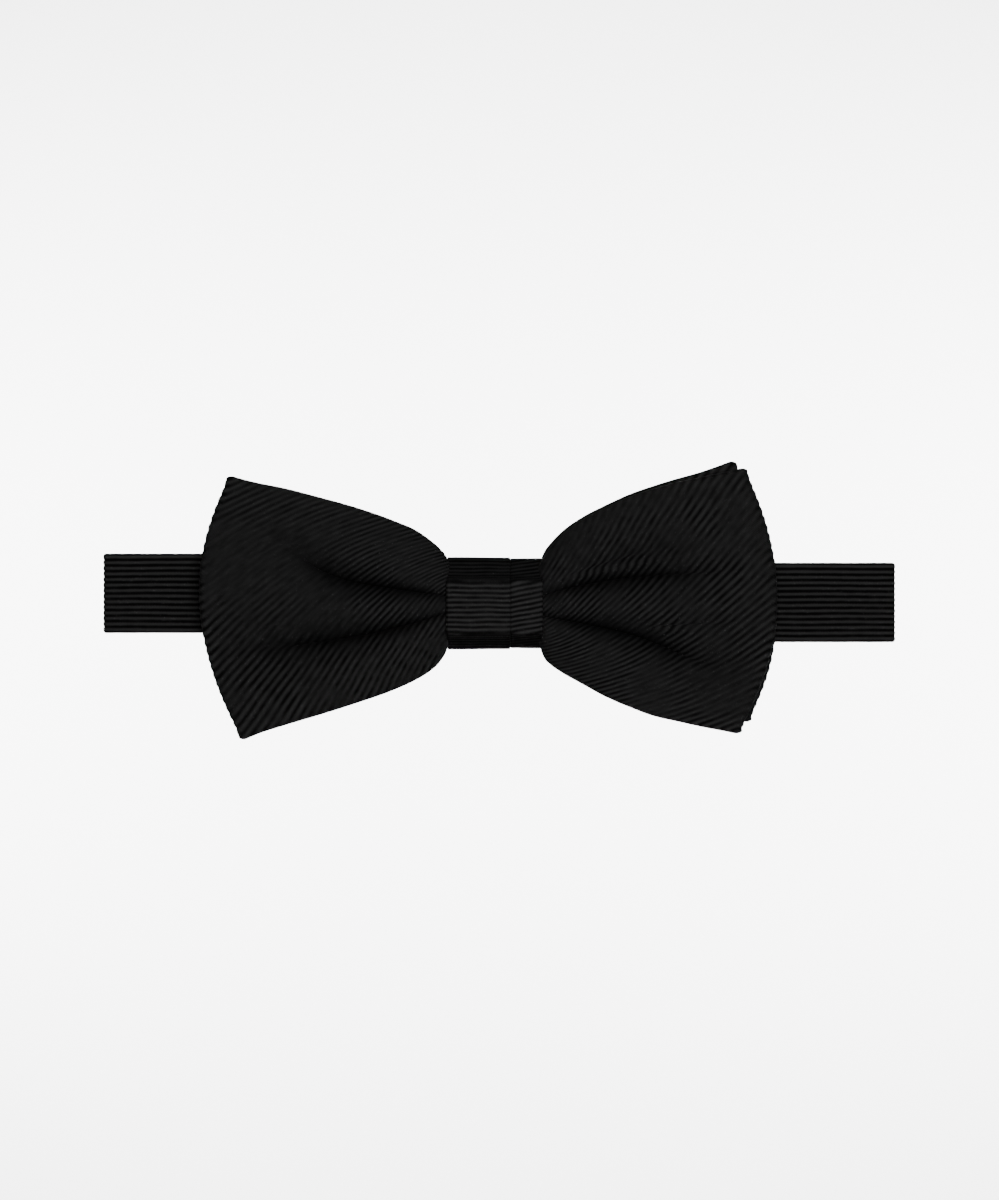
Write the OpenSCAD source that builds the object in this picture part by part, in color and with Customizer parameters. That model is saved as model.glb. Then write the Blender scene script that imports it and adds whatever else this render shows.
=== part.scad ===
// Ready-tied bow tie: two folded bows gathered in a wrapped knot, on an
// adjustable neckband that is folded flat behind them.
// +X is the wearer's left, +Y runs back to the wearer's collar and +Z is up.
// The origin is the centre of the knot's back face, where it bears on the collar.

/* [Bow] */
// Half width of the waist, where the bows go into the knot
waist_half_w = 10.5; // [9:0.5:12]
// Half height of the gathered cloth inside the knot
waist_half_h = 8.0; // [7:0.1:8]
// How far the end of a wing bulges past the line between its two tips
belly = 7.6; // [4:0.1:10]
// How fast a wing opens out of the knot: lower is faster
flare = 0.48; // [0.4:0.02:0.8]
// Thickness of a bow's cloth tube with its interlining
bow_t = 1.3; // [1.2:0.05:1.4]
// Thickness of one layer of bow cloth
cloth_t = 0.35; // [0.3:0.01:0.38]
// Thickness of the bow's interlining
bow_stay_t = 0.4; // [0.3:0.05:0.45]

/* [Knot] */
// Height of the knot
knot_h = 19.5; // [19:0.1:21]
// Thickness of the knot's folded band
knot_wall = 1.2; // [1.1:0.05:1.3]
// How far the overlapping panel of the knot stands above the panel beside it
knot_step = 0.5; // [0.3:0.1:0.8]
// Where the overlapping panel's edge runs down the knot, from the centre
knot_edge_x = 3.4; // [2:0.1:7]
// Corner radius of the knot
knot_r = 3.0; // [2:0.1:3.4]

/* [Neckband] */
// Width of the band
band_w = 17.3; // [16:0.1:18]
// Thickness of the band: two layers of cloth and an interlining
band_t = 0.9; // [0.8:0.05:1]
// Thickness of the band's interlining
band_stay_t = 0.35; // [0.25:0.05:0.4]
// Distance from the centre to the fold on the wearer's right
fold_right_x = 85.1; // [80:0.1:90]
// Distance from the centre to the fold on the wearer's left
fold_left_x = 87.2; // [80:0.1:90]
// How much higher the band sits on the wearer's right than on the left
band_rise = 2.0; // [0:0.1:2.5]
// Gap between two folded layers of the band
layer_gap = 0.25; // [0.2:0.05:0.4]

/* [Clasp] */
// Distance from the centre to the eye's bar
eye_bar_x = 56; // [54:0.5:58]
// Distance from the centre to the hook's bar
hook_bar_x = 36; // [34:0.5:37]
// Distance from the centre to the slider's middle bar
slider_x = 48; // [44:0.5:50]
// Height of the metal parts
metal_h = 20.6; // [20:0.1:22]
// Thickness of the metal plate
plate_t = 0.8; // [0.6:0.1:0.9]
// Radius of the bars that the band is looped round
bar_r = 0.4; // [0.35:0.05:0.45]

/* [Hidden] */
$fn = 48;

cloth_black = [0.05, 0.05, 0.055];
stay_white = [0.85, 0.84, 0.8];
thread_black = [0.03, 0.03, 0.03];
nickel = [0.72, 0.72, 0.74];

fit = 0.1;            // clearance between parts that are sewn or wrapped together
eps = 0.01;
half_band = band_w / 2;
rise = [band_rise, 0]; // height of the band's middle on the wearer's right and left

// Wing tips as [distance from the centre, height], in the order
// right top, right bottom, left top, left bottom (the wearer's right is -X).
front_tips = [[57.2, 26.9], [54.8, -29.2], [54.2, 28.7], [52.9, -27.8]];
rear_tips = [[56.6, 26.7], [54.6, -28.2], [52.0, 30.2], [55.2, -25.4]];

// Levels from the knot's back face forwards: band, binding thread, rear bow, front bow.
band_y = -(knot_wall + fit);                        // back face of the band in the knot
thread_r = 0.25;
thread_back_y = band_y - band_t - fit;
bow_gap = 0.2;
bow_half = (bow_t + bow_gap) / 2;                   // half the depth of a bow at the waist
rear_y = thread_back_y - 2 * thread_r - fit - bow_t - bow_gap / 2;
front_y = rear_y - 2 * (bow_t + bow_gap);
thread_front_y = front_y - bow_t - bow_gap / 2 - fit;
knot_front_y = thread_front_y - 2 * thread_r - fit; // inner front face of the knot

// Levels behind the knot. The layers of the long strap lie outside the short one.
fold_y = band_y + layer_gap / 2;                    // axis of the two folds
inner_y = layer_gap;                                // short strap's turned end
outer_y = inner_y + band_t + layer_gap;             // short strap
tail_y = outer_y + band_t + layer_gap;              // long strap's doubled part
loop_t = 2 * (bar_r + fit / 2) + 2 * 0.6;           // depth of a cloth loop round a bar
run_y = tail_y + loop_t + layer_gap;                // long strap
slider_y = run_y + band_t + layer_gap;              // slider's outer bars
loop_r = loop_t / 2;
eye_y = inner_y + band_t + layer_gap / 2;           // eye's bar
hook_y = (tail_y + run_y + band_t) / 2;             // hook's bar
slider_bar_y = tail_y + loop_r;                     // slider's middle bar
hook_loop_r = (run_y + band_t - tail_y) / 2;

// ---------- Cloth bands: a mid surface, thickened ----------

function unit(a) = a / norm(a);
function mix(a, b, t) = a + (b - a) * t;

// Half height of a wing at u, from the waist (0) to the end (1), towards one tip.
function wing_z(tip, u) = sign(tip[1]) * mix(waist_half_h, abs(tip[1]), pow(u, flare * 1.5));

// A point of a wing: side is -1 or 1, v runs from the bottom edge (-1) to the top (1),
// and turn runs from the front layer (-90) round the end fold to the back layer (90).
// form is [how far the wing puffs out, how far its middle and its end stand forward].
function wing_point(tips, side, level, form, u, v, turn) =
    let(
        top = tips[side < 0 ? 0 : 2],
        bottom = tips[side < 0 ? 1 : 3],
        end_x = mix(bottom[0], top[0], (v + 1) / 2) + belly * (1 - v * v) - bow_half,
        x = mix(waist_half_w, end_x, pow(u, 1.5)),
        z = v >= 0 ? v * wing_z(top, u) : -v * wing_z(bottom, u),
        swell = sin(180 * u) * (1 - 0.35 * v * v),
        depth = bow_half + form[0] * swell,
        y = level - (form[0] + form[1]) * swell - form[2] * u * u
    )
    [side * (x + bow_half * cos(turn) * (u < 1 ? 0 : 1)), y + depth * sin(turn), z];

// The bow is one closed loop: from the join behind the knot round one wing,
// across the front of the knot and round the other wing.
wing_steps = [for (i = [0:11]) i / 11];
fold_steps = [-60, -30, 0, 30, 60];
waist_steps = [0.25, 4, 8];
function loop_half(side) = [
    for (x = waist_steps) ["waist", side, x, 90],
    for (u = wing_steps) ["wing", side, u, 90],
    for (turn = [4:-1:0]) ["wing", side, 1, fold_steps[turn]],
    for (i = [11:-1:0]) ["wing", side, wing_steps[i], -90],
    for (i = [2:-1:1]) ["waist", side, waist_steps[i], -90],
];
function reversed(list) = [for (i = [len(list) - 1:-1:0]) list[i]];
loop_stations = concat(loop_half(-1), [["waist", 1, 0, -90]], reversed(loop_half(1)));

function station_point(tips, level, form, s, v) =
    s[0] == "waist"
    ? [s[1] * s[2], level + bow_half * sin(s[3]), v * waist_half_h]
    : wing_point(tips, s[1], level, form, s[2], v, s[3]);

v_steps = [for (j = [0:8]) sin(90 * (j - 4) / 4)];
function mid_surface(tips, level, form, reach) =
    [for (s = loop_stations) [for (v = v_steps) station_point(tips, level, form, s, v * reach)]];

function clamp(i, n) = max(0, min(n, i));
function normal_at(grid, i, j) =
    let(
        rows = len(grid) - 1,
        columns = len(grid[0]) - 1,
        along = grid[clamp(i + 1, rows)][j] - grid[clamp(i - 1, rows)][j],
        across = grid[i][clamp(j + 1, columns)] - grid[i][clamp(j - 1, columns)]
    )
    unit(cross(along, across));

// The ring of points round the section of a thickened surface at row i.
function section_ring(grid, i, t) =
    let(columns = len(grid[0]) - 1)
    concat(
        [for (j = [0:columns]) grid[i][j] + normal_at(grid, i, j) * t / 2],
        [for (j = [columns:-1:0]) grid[i][j] - normal_at(grid, i, j) * t / 2]
    );

// Quads between neighbouring rings of n points, starting at point number base.
function wall_faces(base, rings, n) = [
    for (i = [0:rings - 2], k = [0:n - 1])
        [base + i * n + k, base + (i + 1) * n + k,
         base + (i + 1) * n + (k + 1) % n, base + i * n + (k + 1) % n]
];
function flipped(faces) = [for (f = faces) reversed(f)];

module solid_band(grid, t) {
    rings = len(grid);
    half = len(grid[0]);
    n = 2 * half;
    cap = [for (k = [0:half - 2]) [k, k + 1, n - 2 - k, n - 1 - k]];
    last = (rings - 1) * n;
    polyhedron(
        points = [for (i = [0:rings - 1]) each section_ring(grid, i, t)],
        faces = concat(
            wall_faces(0, rings, n),
            cap,
            [for (f = flipped(cap)) [for (k = f) last + k]]
        ),
        convexity = 8
    );
}

// A flat tube of cloth, open at both ends of its loop.
module tube_band(outer, inner, t, wall) {
    rings = len(outer);
    n = 2 * len(outer[0]);
    hole = rings * n;
    last = (rings - 1) * n;
    cap = [for (k = [0:n - 1]) [k, (k + 1) % n, hole + (k + 1) % n, hole + k]];
    polyhedron(
        points = [
            for (i = [0:rings - 1]) each section_ring(outer, i, t),
            for (i = [0:rings - 1]) each section_ring(inner, i, t - 2 * wall),
        ],
        faces = concat(
            wall_faces(0, rings, n),
            flipped(wall_faces(hole, rings, n)),
            cap,
            [for (f = flipped(cap)) [for (k = f) last + k]]
        ),
        convexity = 8
    );
}

rear_form = [0.45, 0, 0];
front_form = [1.5, 2 * rear_form[0], 1.2];
stay_reach = 0.94;    // share of the band's width that its hollow takes

module bow_shell(tips, level, form)
    tube_band(
        mid_surface(tips, level, form, 1),
        mid_surface(tips, level, form, stay_reach),
        bow_t, cloth_t
    );

module bow_stay(tips, level, form)
    solid_band(mid_surface(tips, level, form, stay_reach - 0.03), bow_stay_t);

module front_bow_shell() { color(cloth_black) bow_shell(front_tips, front_y, front_form); }
module front_bow_interlining() { color(stay_white) bow_stay(front_tips, front_y, front_form); }
module rear_bow_shell() { color(cloth_black) bow_shell(rear_tips, rear_y, rear_form); }
module rear_bow_interlining() { color(stay_white) bow_stay(rear_tips, rear_y, rear_form); }

// A row of short stitches across the join in the back of a bow.
join_stitches = 5;
stitch_r = 0.15;
module join_row(y)
    for (k = [0:join_stitches - 1])
        translate([-1.2, y, mix(-6, 6, k / (join_stitches - 1))])
            rotate([0, 90, 0]) cylinder(h = 2.4, r = stitch_r, $fn = 16);

module front_bow_join_stitches() { color(thread_black) join_row(front_y + bow_half + bow_t / 2 - fit); }
module rear_bow_join_stitches() { color(thread_black) join_row(rear_y + bow_half + bow_t / 2 - fit); }

// ---------- Knot ----------

// A rectangle with round corners in the plane across the knot: y0 is the front, y1 the back.
module knot_section(y0, y1, h, r) {
    depth = y1 - y0;
    rr = min(r, depth / 2 - eps, h / 2 - eps);
    translate([y0, -h / 2]) {
        translate([rr, 0]) square([depth - 2 * rr, h]);
        translate([0, rr]) square([depth, h - 2 * rr]);
        for (a = [rr, depth - rr], b = [rr, h - rr]) translate([a, b]) circle(r = rr);
    }
}

// A ring round the waist from x0 to x1, whose hole is the inner section grown by g0
// and whose outside is the same section grown by g1. The back keeps its own thickness.
inner_h = knot_h - 2 * knot_wall;
module knot_ring(x0, x1, g0, g1)
    translate([x0, 0, 0]) rotate([0, 90, 0]) rotate([0, 0, 90])
        linear_extrude(x1 - x0) difference() {
            knot_section(knot_front_y - g1, -knot_wall + min(g1, knot_wall),
                inner_h + 2 * g1, knot_r - knot_wall + g1);
            knot_section(knot_front_y - g0, -knot_wall + g0, inner_h + 2 * g0,
                knot_r - knot_wall + g0);
        }

turn_in = 4;          // cloth turned in along each edge of the knot band
lining_t = 0.3;       // the turned-in layer
knot_stay_t = 0.35;
module knot_band() {
    color(cloth_black) {
        knot_ring(-waist_half_w, waist_half_w, lining_t + knot_stay_t + 0.1, knot_wall);
        for (x = [-waist_half_w, waist_half_w - turn_in])
            knot_ring(x, x + turn_in, 0, lining_t);
        for (x = [-waist_half_w, waist_half_w - 0.3])
            knot_ring(x, x + 0.3, 0, knot_wall);
        knot_ring(-waist_half_w, knot_edge_x, knot_wall - 0.2, knot_wall + knot_step);
    }
}

module knot_interlining() {
    color(stay_white)
        knot_ring(-waist_half_w + 0.4, waist_half_w - 0.4,
            lining_t + 0.05, lining_t + 0.05 + knot_stay_t);
}

// Hand stitches across the seam where the knot band's two ends meet at its back.
module knot_stitches() {
    color(thread_black)
        for (k = [0:8])
            translate([mix(-8.4, 8.4, k / 8), stitch_r / 2, -0.9])
                cylinder(h = 1.8, r = stitch_r, $fn = 16);
}

// Turns of thread round the gathered waist of both bows.
thread_turns = 7;
module waist_thread() {
    color(thread_black)
        for (k = [0:thread_turns - 1])
            translate([(k - (thread_turns - 1) / 2) * 3 * thread_r - thread_r, 0, 0])
                rotate([0, 90, 0]) rotate([0, 0, 90])
                    linear_extrude(2 * thread_r) difference() {
                        knot_section(thread_front_y - 2 * thread_r, thread_back_y,
                            2 * (waist_half_h + fit + 2 * thread_r), 0.9);
                        knot_section(thread_front_y, thread_back_y - 2 * thread_r,
                            2 * (waist_half_h + fit), 0.4);
                    }
}

// ---------- Neckband ----------

band_wall = 0.2;
hollow_t = band_t - 2 * band_wall;
edge_wall = 0.5;      // cloth at the folded edge of the band
band_squeeze = 6.9;   // half height of the band where the knot grips it

// Outline of the band seen from the front, taken in by e along its edges and
// run past its two ends by past.
function band_outline(e, past) =
    let(
        r = -(fold_right_x + past),
        l = fold_left_x + past,
        h = half_band - e,
        s = band_squeeze - e
    )
    [
        [r, rise[0] - h], [-22, rise[0] - h], [-waist_half_w, -s], [waist_half_w, -s],
        [22, rise[1] - h], [l, rise[1] - h],
        [l, rise[1] + h], [22, rise[1] + h], [waist_half_w, s], [-waist_half_w, s],
        [-22, rise[0] + h], [r, rise[0] + h],
    ];

module upright(y0, t) translate([0, y0 + t, 0]) rotate([90, 0, 0]) linear_extrude(t) children();

module neckband_centre() {
    color(cloth_black) difference() {
        upright(band_y - band_t, band_t) polygon(band_outline(0, 0));
        upright(band_y - band_t + band_wall, hollow_t) polygon(band_outline(edge_wall, 1));
    }
}

module neckband_centre_interlining() {
    color(stay_white)
        upright(band_y - band_t / 2 - band_stay_t / 2, band_stay_t)
            polygon(band_outline(edge_wall + fit, -0.5));
}

// Seen from above, a strap is a path of [x, y] points at the middle of its thickness.
function across_at(path, i) =
    let(
        a = path[max(0, i - 1)],
        b = path[min(len(path) - 1, i + 1)],
        d = unit(b - a)
    )
    [-d[1], d[0]];
function ribbon(path, t) = concat(
    [for (i = [0:len(path) - 1]) path[i] + across_at(path, i) * t / 2],
    [for (i = [len(path) - 1:-1:0]) path[i] - across_at(path, i) * t / 2]
);
// The same path, run on by past at both ends.
function run_on(path, past) =
    let(n = len(path) - 1)
    [
        for (i = [0:n])
            i == 0 ? path[0] + unit(path[0] - path[1]) * past
            : i == n ? path[n] + unit(path[n] - path[n - 1]) * past
            : path[i]
    ];

module strap_tube(path, middle_z) {
    difference() {
        translate([0, 0, middle_z - half_band])
            linear_extrude(band_w) polygon(ribbon(path, band_t));
        translate([0, 0, middle_z - half_band + edge_wall])
            linear_extrude(band_w - 2 * edge_wall) polygon(ribbon(run_on(path, 1), hollow_t));
    }
}

module strap_stay(path, middle_z)
    translate([0, 0, middle_z - half_band + edge_wall + fit])
        linear_extrude(band_w - 2 * edge_wall - 2 * fit)
            polygon(ribbon(run_on(path, -0.5), band_stay_t));

// Cloth turned round a bar: a ring with a flat tongue that leads back to the strap.
module bar_loop(x, y, middle_z, r, tongue_x, tongue_y0, tongue_y1) {
    lo = min(x, tongue_x);
    translate([0, 0, middle_z - half_band]) linear_extrude(band_w) difference() {
        union() {
            translate([x, y]) circle(r = r);
            translate([lo, tongue_y0]) square([abs(tongue_x - x), tongue_y1 - tongue_y0]);
        }
        translate([x, y]) circle(r = bar_r + fit / 2);
    }
}

// Short strap, folded behind on the wearer's right, with the eye on its end.
at_fold_y = fold_y + layer_gap / 2 + band_t / 2;
short_end_x = -(eye_bar_x + 5);
short_path = [
    [-fold_right_x, at_fold_y], [-fold_right_x + 2, at_fold_y],
    [-fold_right_x + 14, outer_y + band_t / 2], [short_end_x - fit, outer_y + band_t / 2],
];
module short_strap() { color(cloth_black) strap_tube(short_path, rise[0]); }
module short_strap_interlining() { color(stay_white) strap_stay(short_path, rise[0]); }
module short_strap_loop() {
    color(cloth_black)
        bar_loop(-eye_bar_x, eye_y, rise[0], outer_y + band_t - eye_y, short_end_x,
            inner_y, outer_y + band_t);
}

// Long strap: a root that keeps its place, a run that takes up the change of length,
// a loop round the hook's bar and a tail that is doubled back to the slider.
root_end_x = fold_left_x - 25;
root_path = [
    [fold_left_x, at_fold_y], [fold_left_x - 2, at_fold_y],
    [root_end_x + 2, run_y + band_t / 2], [root_end_x, run_y + band_t / 2],
];
hook_loop_x = -hook_bar_x + 4;
run_path = [[root_end_x - fit, run_y + band_t / 2], [hook_loop_x + fit, run_y + band_t / 2]];
tail_path = [[hook_loop_x + fit, tail_y + band_t / 2], [slider_x - 4 - fit, tail_y + band_t / 2]];

module long_strap_root() { color(cloth_black) strap_tube(root_path, rise[1]); }
module long_strap_root_interlining() { color(stay_white) strap_stay(root_path, rise[1]); }
module long_strap_run() { color(cloth_black) strap_tube(run_path, rise[1]); }
module long_strap_run_interlining() { color(stay_white) strap_stay(run_path, rise[1]); }
module long_strap_tail() { color(cloth_black) strap_tube(tail_path, rise[1]); }
module long_strap_tail_interlining() { color(stay_white) strap_stay(tail_path, rise[1]); }
module hook_loop() {
    color(cloth_black) difference() {
        bar_loop(-hook_bar_x, hook_y, rise[1], hook_loop_r, hook_loop_x, tail_y, run_y + band_t);
        // the two layers part again behind the loop
        translate([-hook_bar_x + 1.6, tail_y + band_t, rise[1] - half_band - 1])
            cube([4, run_y - tail_y - band_t, band_w + 2]);
    }
}
module slider_loop() {
    color(cloth_black)
        bar_loop(slider_x, slider_bar_y, rise[1], loop_r, slider_x - 4, tail_y, tail_y + loop_t);
}

// Bar tacks: close rows of thread across the band.
module tack(x, y, middle_z) {
    rows = 9;
    for (k = [0:rows - 1])
        translate([x - 0.9, y, middle_z + mix(-6.4, 6.4, k / (rows - 1))])
            rotate([0, 90, 0]) cylinder(h = 1.8, r = stitch_r, $fn = 16);
}
module eye_bar_tack() { color(thread_black) tack(-eye_bar_x - 3.4, outer_y + band_t, rise[0]); }
module slider_bar_tack() { color(thread_black) tack(slider_x - 2.6, tail_y, rise[1]); }

// ---------- Metal parts ----------

bar_over = metal_h / 2;
arm_w = 1.0;          // width of an arm that carries a bar
module bar(x, y, middle_z)
    translate([x, y, middle_z - bar_over]) cylinder(h = metal_h, r = bar_r);

// A flat plate between x0 and x1, centred on the level of a bar.
module plate(x0, x1, y, middle_z, half_h)
    translate([x0, y - plate_t / 2, middle_z - half_h]) cube([x1 - x0, plate_t, 2 * half_h]);

module arms(x0, x1, y, middle_z)
    for (side = [-1, 1])
        translate([x0, y - plate_t / 2, middle_z + side * (bar_over - arm_w / 2) - arm_w / 2])
            cube([x1 - x0, plate_t, arm_w]);

// Eye: a frame whose far side the hook goes round.
eye_len = 7.6;
module eye() {
    color(nickel) {
        bar(-eye_bar_x, eye_y, rise[0]);
        arms(-eye_bar_x, -eye_bar_x + eye_len, eye_y, rise[0]);
        plate(-eye_bar_x + eye_len - 1.4, -eye_bar_x + eye_len, eye_y, rise[0], bar_over);
    }
}

// Hook: a frame with a tongue that is bent back on itself towards the eye.
tongue_w = 7;
hook_tip_x = -hook_bar_x - 10.4;
hook_bend_r = 0.95;
module hook() {
    color(nickel) {
        bar(-hook_bar_x, hook_y, rise[1]);
        arms(-hook_bar_x - 4, -hook_bar_x, hook_y, rise[1]);
        plate(-hook_bar_x - 6, -hook_bar_x - 3.6, hook_y, rise[1], bar_over);
        plate(hook_tip_x + hook_bend_r, -hook_bar_x - 5, hook_y, rise[1], tongue_w / 2);
        // the bend and the short leg that catches the eye
        translate([hook_tip_x + hook_bend_r, hook_y + plate_t / 2 - hook_bend_r, rise[1] - tongue_w / 2])
            linear_extrude(tongue_w) difference() {
                circle(r = hook_bend_r);
                circle(r = hook_bend_r - plate_t + 0.1);
                translate([0, -2 * hook_bend_r]) square([2 * hook_bend_r, 4 * hook_bend_r]);
            }
        translate([hook_tip_x + hook_bend_r - eps, hook_y + plate_t / 2 - 2 * hook_bend_r,
                rise[1] - tongue_w / 2])
            cube([2.2, plate_t - 0.1, tongue_w]);
    }
}

// Slider: two outer bars over the strap and a middle bar under it, joined by two cheeks.
slider_len = 11;
slider_bar_w = 2;
cheek_path = [
    [-slider_len / 2, slider_y + plate_t / 2],
    [-slider_len / 2 + slider_bar_w, slider_y + plate_t / 2],
    [-0.6, slider_bar_y], [0.6, slider_bar_y],
    [slider_len / 2 - slider_bar_w, slider_y + plate_t / 2],
    [slider_len / 2, slider_y + plate_t / 2],
];
module slider() {
    color(nickel) {
        bar(slider_x, slider_bar_y, rise[1]);
        for (side = [-1, 1])
            translate([slider_x + side * (slider_len - slider_bar_w) / 2 - slider_bar_w / 2,
                    slider_y, rise[1] - bar_over])
                cube([slider_bar_w, plate_t, metal_h]);
        for (side = [-1, 1])
            translate([slider_x, 0, rise[1] + side * (bar_over - arm_w / 2) - arm_w / 2])
                linear_extrude(arm_w) polygon(ribbon(cheek_path, plate_t));
    }
}

front_bow_shell();
front_bow_interlining();
front_bow_join_stitches();
rear_bow_shell();
rear_bow_interlining();
rear_bow_join_stitches();
waist_thread();
knot_band();
knot_interlining();
knot_stitches();
neckband_centre();
neckband_centre_interlining();
short_strap();
short_strap_interlining();
short_strap_loop();
eye_bar_tack();
eye();
long_strap_root();
long_strap_root_interlining();
long_strap_run();
long_strap_run_interlining();
long_strap_tail();
long_strap_tail_interlining();
hook_loop();
hook();
slider();
slider_loop();
slider_bar_tack();
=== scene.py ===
# %% [markdown]
# # A ready-tied bow tie
# A ready-tied bow is never knotted. Two loops of ribbed cloth are pinched
# flat at the middle, bound with thread, and wrapped in a short band that
# looks like a knot. The band that goes round the neck runs through the back
# of that wrap, and closes with a hook and an eye. Here it is folded flat
# behind the bow, as it comes out of its box.
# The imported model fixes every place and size, so it is loaded first.

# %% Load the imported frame
import math

import bpy
import numpy as np
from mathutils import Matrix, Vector


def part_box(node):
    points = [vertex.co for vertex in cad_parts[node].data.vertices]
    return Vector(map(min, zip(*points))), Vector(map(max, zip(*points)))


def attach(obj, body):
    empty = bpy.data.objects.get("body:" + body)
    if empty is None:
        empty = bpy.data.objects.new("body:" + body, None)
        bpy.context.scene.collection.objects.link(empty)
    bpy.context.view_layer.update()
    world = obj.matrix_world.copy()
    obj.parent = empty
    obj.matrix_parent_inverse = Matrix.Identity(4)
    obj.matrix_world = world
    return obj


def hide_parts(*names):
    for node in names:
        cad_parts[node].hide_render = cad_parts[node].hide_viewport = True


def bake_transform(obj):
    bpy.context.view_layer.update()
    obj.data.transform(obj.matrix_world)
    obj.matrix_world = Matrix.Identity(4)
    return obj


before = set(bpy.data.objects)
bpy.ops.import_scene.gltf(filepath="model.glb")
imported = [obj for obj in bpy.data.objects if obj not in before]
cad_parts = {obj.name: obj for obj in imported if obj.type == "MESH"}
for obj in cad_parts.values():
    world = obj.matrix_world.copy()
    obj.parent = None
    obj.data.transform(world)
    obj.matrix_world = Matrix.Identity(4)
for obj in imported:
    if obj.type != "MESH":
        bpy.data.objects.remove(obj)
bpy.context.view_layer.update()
MM = 0.001  # lengths below are in millimetres

# %% [markdown]
# ## Levels
# The bow tie is a stack of thin layers, so what matters most is how deep
# each layer lies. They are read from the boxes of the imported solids, and
# every cloth piece below is built on them.

# %% Read the levels of the stack from the solids


def low(node, axis):
    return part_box(node)[0][axis] / MM


def high(node, axis):
    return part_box(node)[1][axis] / MM


def middle(node, axis):
    return (low(node, axis) + high(node, axis)) / 2


X, Y, Z = 0, 1, 2
BOW_HALF = 0.75  # half the depth of a bow's loop at the waist
CLOTH = 1.2  # a bow's cloth, folded double over its interlining
level = {
    "front": middle("front_bow_join_stitches", Y) - 1.3,
    "rear": middle("rear_bow_join_stitches", Y) - 1.3,
}
knot_half_w = high("knot_band", X)
print("bow levels in mm:", level, "knot half width:", round(knot_half_w, 2))

# %% [markdown]
# ## Sewing helpers
# Every cloth piece of a bow tie starts as a flat strip. It is folded
# lengthwise into a flat tube and sewn along its two long edges. The helper
# does the same: it adds a flat grid, bends it round a row of rings, sews the
# long edges by merging them and closes the ends. The grid's UV map becomes
# the cloth's own pattern, U across the cords and V along them.

# %% Roll a flat grid of cloth into a tube


def deselect():
    if bpy.context.object and bpy.context.object.mode != "OBJECT":
        bpy.ops.object.mode_set(mode="OBJECT")
    bpy.ops.object.select_all(action="DESELECT")


def sew_tube(name, rings, pattern):
    rows, columns = rings.shape[:2]
    deselect()
    bpy.ops.mesh.primitive_grid_add(
        x_subdivisions=columns, y_subdivisions=rows - 1, size=1
    )
    piece = bpy.context.object
    piece.name = piece.data.name = name
    mesh = piece.data
    place = np.concatenate([rings, rings[:, :1]], axis=1) * MM
    mesh.vertices.foreach_set("co", place.astype(np.float32).ravel())
    corner = np.zeros(len(mesh.loops), int)
    mesh.loops.foreach_get("vertex_index", corner)
    cloth = np.concatenate([pattern, pattern[:, :1]], axis=1)
    cloth = cloth.reshape(-1, pattern.shape[2]).astype(np.float32)
    mesh.uv_layers[0].data.foreach_set("uv", (cloth[corner, :2] * MM).ravel())
    mesh.uv_layers[0].name = "cords"
    for k, mark in enumerate(("painted_shade", "pressed")[: cloth.shape[1] - 2]):
        layer = mesh.attributes.new(mark, "FLOAT", "POINT")
        layer.data.foreach_set("value", np.ascontiguousarray(cloth[:, k + 2]))
    bpy.ops.object.mode_set(mode="EDIT")
    bpy.ops.mesh.select_all(action="SELECT")
    bpy.ops.mesh.remove_doubles(threshold=1e-7)
    bpy.ops.mesh.fill_holes(sides=0)
    bpy.ops.mesh.select_all(action="SELECT")
    bpy.ops.mesh.normals_make_consistent(inside=False)
    bpy.ops.object.mode_set(mode="OBJECT")
    bpy.ops.object.shade_smooth_by_angle(angle=math.radians(75))
    return piece


# %% Work out the rings of a tube from the surface at its middle


def unit(vectors):
    return vectors / np.maximum(np.linalg.norm(vectors, axis=-1, keepdims=True), 1e-9)


def tube_rings(mid, half, cords, ridge, ridge_inside=None, coarse=12):
    """mid is rows x columns x 3. cords holds (across, along) and, where the piece
    needs them, how much painted shade the cloth takes and how flat it is pressed.
    ridge is how far the ribs stand up. The inside has few columns unless it
    has ribs too."""
    rows, columns = mid.shape[:2]
    normal = unit(np.cross(np.gradient(mid, axis=0), np.gradient(mid, axis=1)))
    edge = unit(np.gradient(mid, axis=1))
    half = np.broadcast_to(np.reshape(half, (-1, 1, 1)), (rows, 1, 1))
    outer = mid + normal * (half + ridge[..., None])
    if ridge_inside is None:
        pick = np.unique(np.linspace(0, columns - 1, coarse).astype(int))[::-1]
        inner = mid[:, pick] - normal[:, pick] * half
    else:
        pick = np.arange(columns)[::-1]
        inner = mid[:, pick] - normal[:, pick] * (half + ridge_inside[:, pick, None])
    parts, cloth = [outer], [cords]
    for side, angles in ((-1, (60, 0, -60)), (0, (-60, 0, 60))):
        out = edge[:, side] * (1 if side else -1)
        turn = [
            mid[:, side]
            + half[:, 0]
            * (
                normal[:, side] * math.sin(math.radians(a))
                + out * math.cos(math.radians(a))
            )
            for a in angles
        ]
        parts.append(np.stack(turn, axis=1))
        cloth.append(np.repeat(cords[:, side][:, None], len(angles), axis=1))
        if side == -1:
            parts.append(inner)
            cloth.append(cords[:, pick])
    return np.concatenate(parts, axis=1), np.concatenate(cloth, axis=1)


def ribs(across, pitch, height):
    return height * (0.5 - 0.5 * np.cos(2 * math.pi * across / pitch))


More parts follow.
